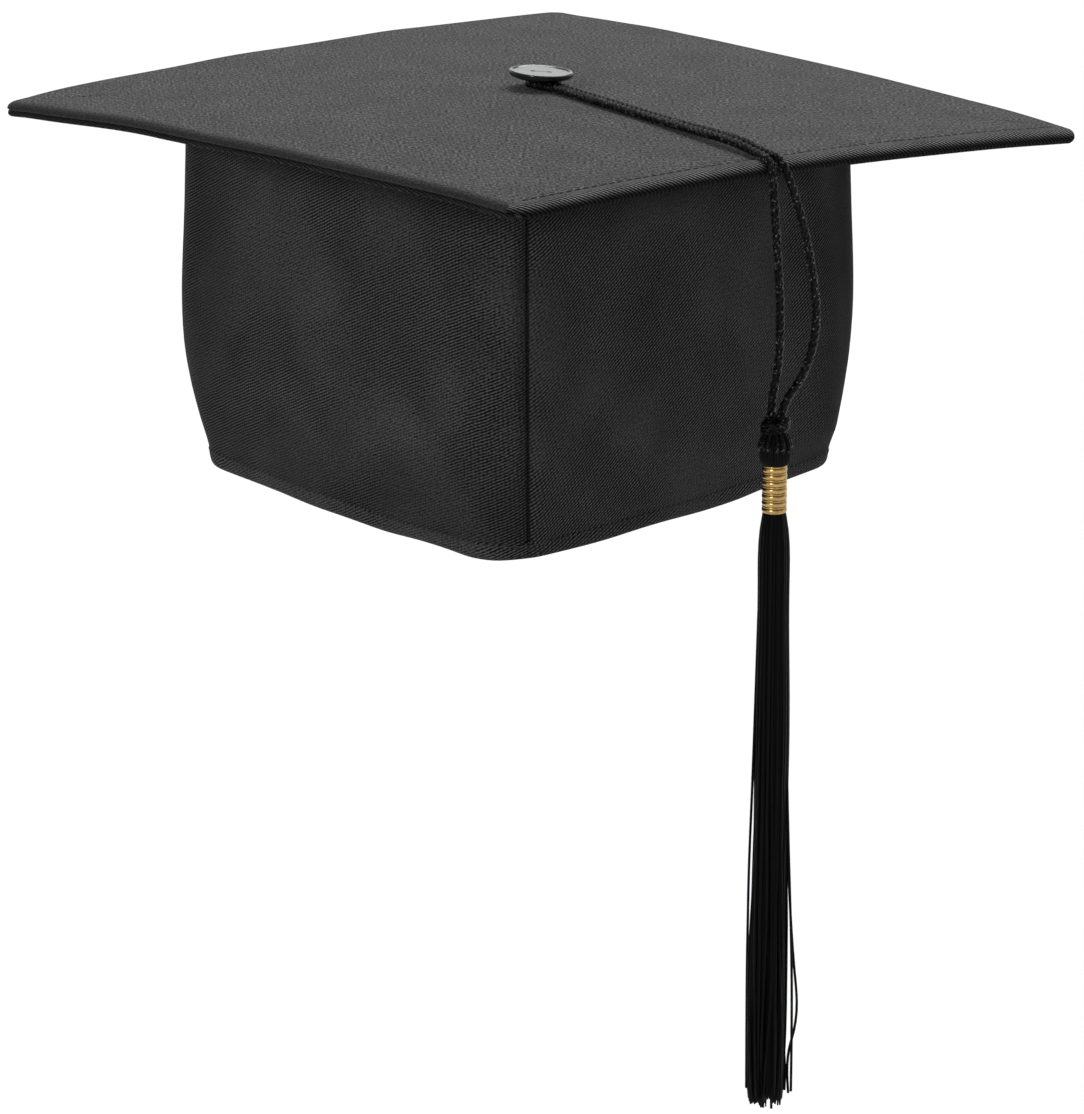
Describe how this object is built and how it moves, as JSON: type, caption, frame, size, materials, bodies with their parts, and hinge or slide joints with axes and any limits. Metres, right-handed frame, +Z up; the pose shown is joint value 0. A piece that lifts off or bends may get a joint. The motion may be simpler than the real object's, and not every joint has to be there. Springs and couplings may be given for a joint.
{
  "type": "graduation cap",
  "caption": "Square mortarboard cap with a soft cloth crown, a centre button and a swinging tassel on a cord loop.",
  "frame": {"origin": "centre of the head opening, in the plane of the crown's rim", "axes": "+Z up out of the crown's top, -Y towards the front nose of the crown, +X to the right as seen from the front; the board's corners point along X and Y"},
  "size_m": [0.3357, 0.3358, 0.3078],
  "materials": {
    "board_cloth": "fine matt twill",
    "crown_twill": "matt twill",
    "hem_twill": "matt bias twill",
    "interlining": "matt plain weave",
    "core_sheet": "matt",
    "sewing_thread": "thread",
    "elastic": "ribbed knit",
    "button_plastic": "glossy",
    "twisted_cord": "silky twisted cord",
    "tassel_yarn": "silky yarn",
    "ferrule_brass": "polished, ribbed"
  },
  "bodies": {
    "cap": {"top_cover": "board_cloth", "bottom_cover": "board_cloth", "board_core": "core_sheet", "board_topstitch": "sewing_thread", "crown_panel_left": "crown_twill", "crown_panel_right": "crown_twill", "crown_stiffener_left": "interlining", "crown_stiffener_right": "interlining", "crown_tip": "interlining", "crown_join_stitch": "sewing_thread", "front_seam_tape": "interlining", "back_seam_tape": "interlining", "hem_binding_left": "hem_twill", "hem_binding_right": "hem_twill", "hem_topstitch": "sewing_thread", "elastic_band": "elastic", "button": "button_plastic", "button_thread": "sewing_thread"},
    "loop_top": {"loop_cord_top": "twisted_cord"},
    "loop_bend": {"loop_cord_bend": "twisted_cord"},
    "loop_drop": {"loop_leg_straight": "twisted_cord", "loop_leg_bowed": "twisted_cord"},
    "tassel": {"neck_wrap": "twisted_cord", "tassel_head": "tassel_yarn", "ferrule": "ferrule_brass", "fringe": "tassel_yarn"}
  },
  "joints": [
    {"name": "loop_turn", "type": "hinge", "parent": "cap", "child": "loop_top", "pos_m": [0.0075, 0, 0.121], "axis": [0.0244, 0, 0.9997], "continuous": true, "deforming": ["loop_cord_top", "loop_cord_bend", "loop_leg_straight", "loop_leg_bowed"]},
    {"name": "swing_out", "type": "hinge", "parent": "loop_top", "child": "loop_bend", "pos_m": [0.08035, -0.10035, 0.1145], "axis": [-0.7071, -0.7071, 0], "range_deg": [-15, 75], "deforming": ["loop_cord_bend"]},
    {"name": "swing_side", "type": "hinge", "parent": "loop_bend", "child": "loop_drop", "pos_m": [0.08035, -0.10035, 0.112], "axis": [0.7071, -0.7071, 0], "range_deg": [-45, 45], "deforming": ["loop_leg_straight", "loop_leg_bowed"]},
    {"name": "tassel_twist", "type": "hinge", "parent": "loop_drop", "child": "tassel", "pos_m": [0.08035, -0.10035, 0.0354], "axis": [0, 0, 1], "range_deg": [-180, 180], "deforming": ["loop_leg_straight", "loop_leg_bowed"]}
  ]
}
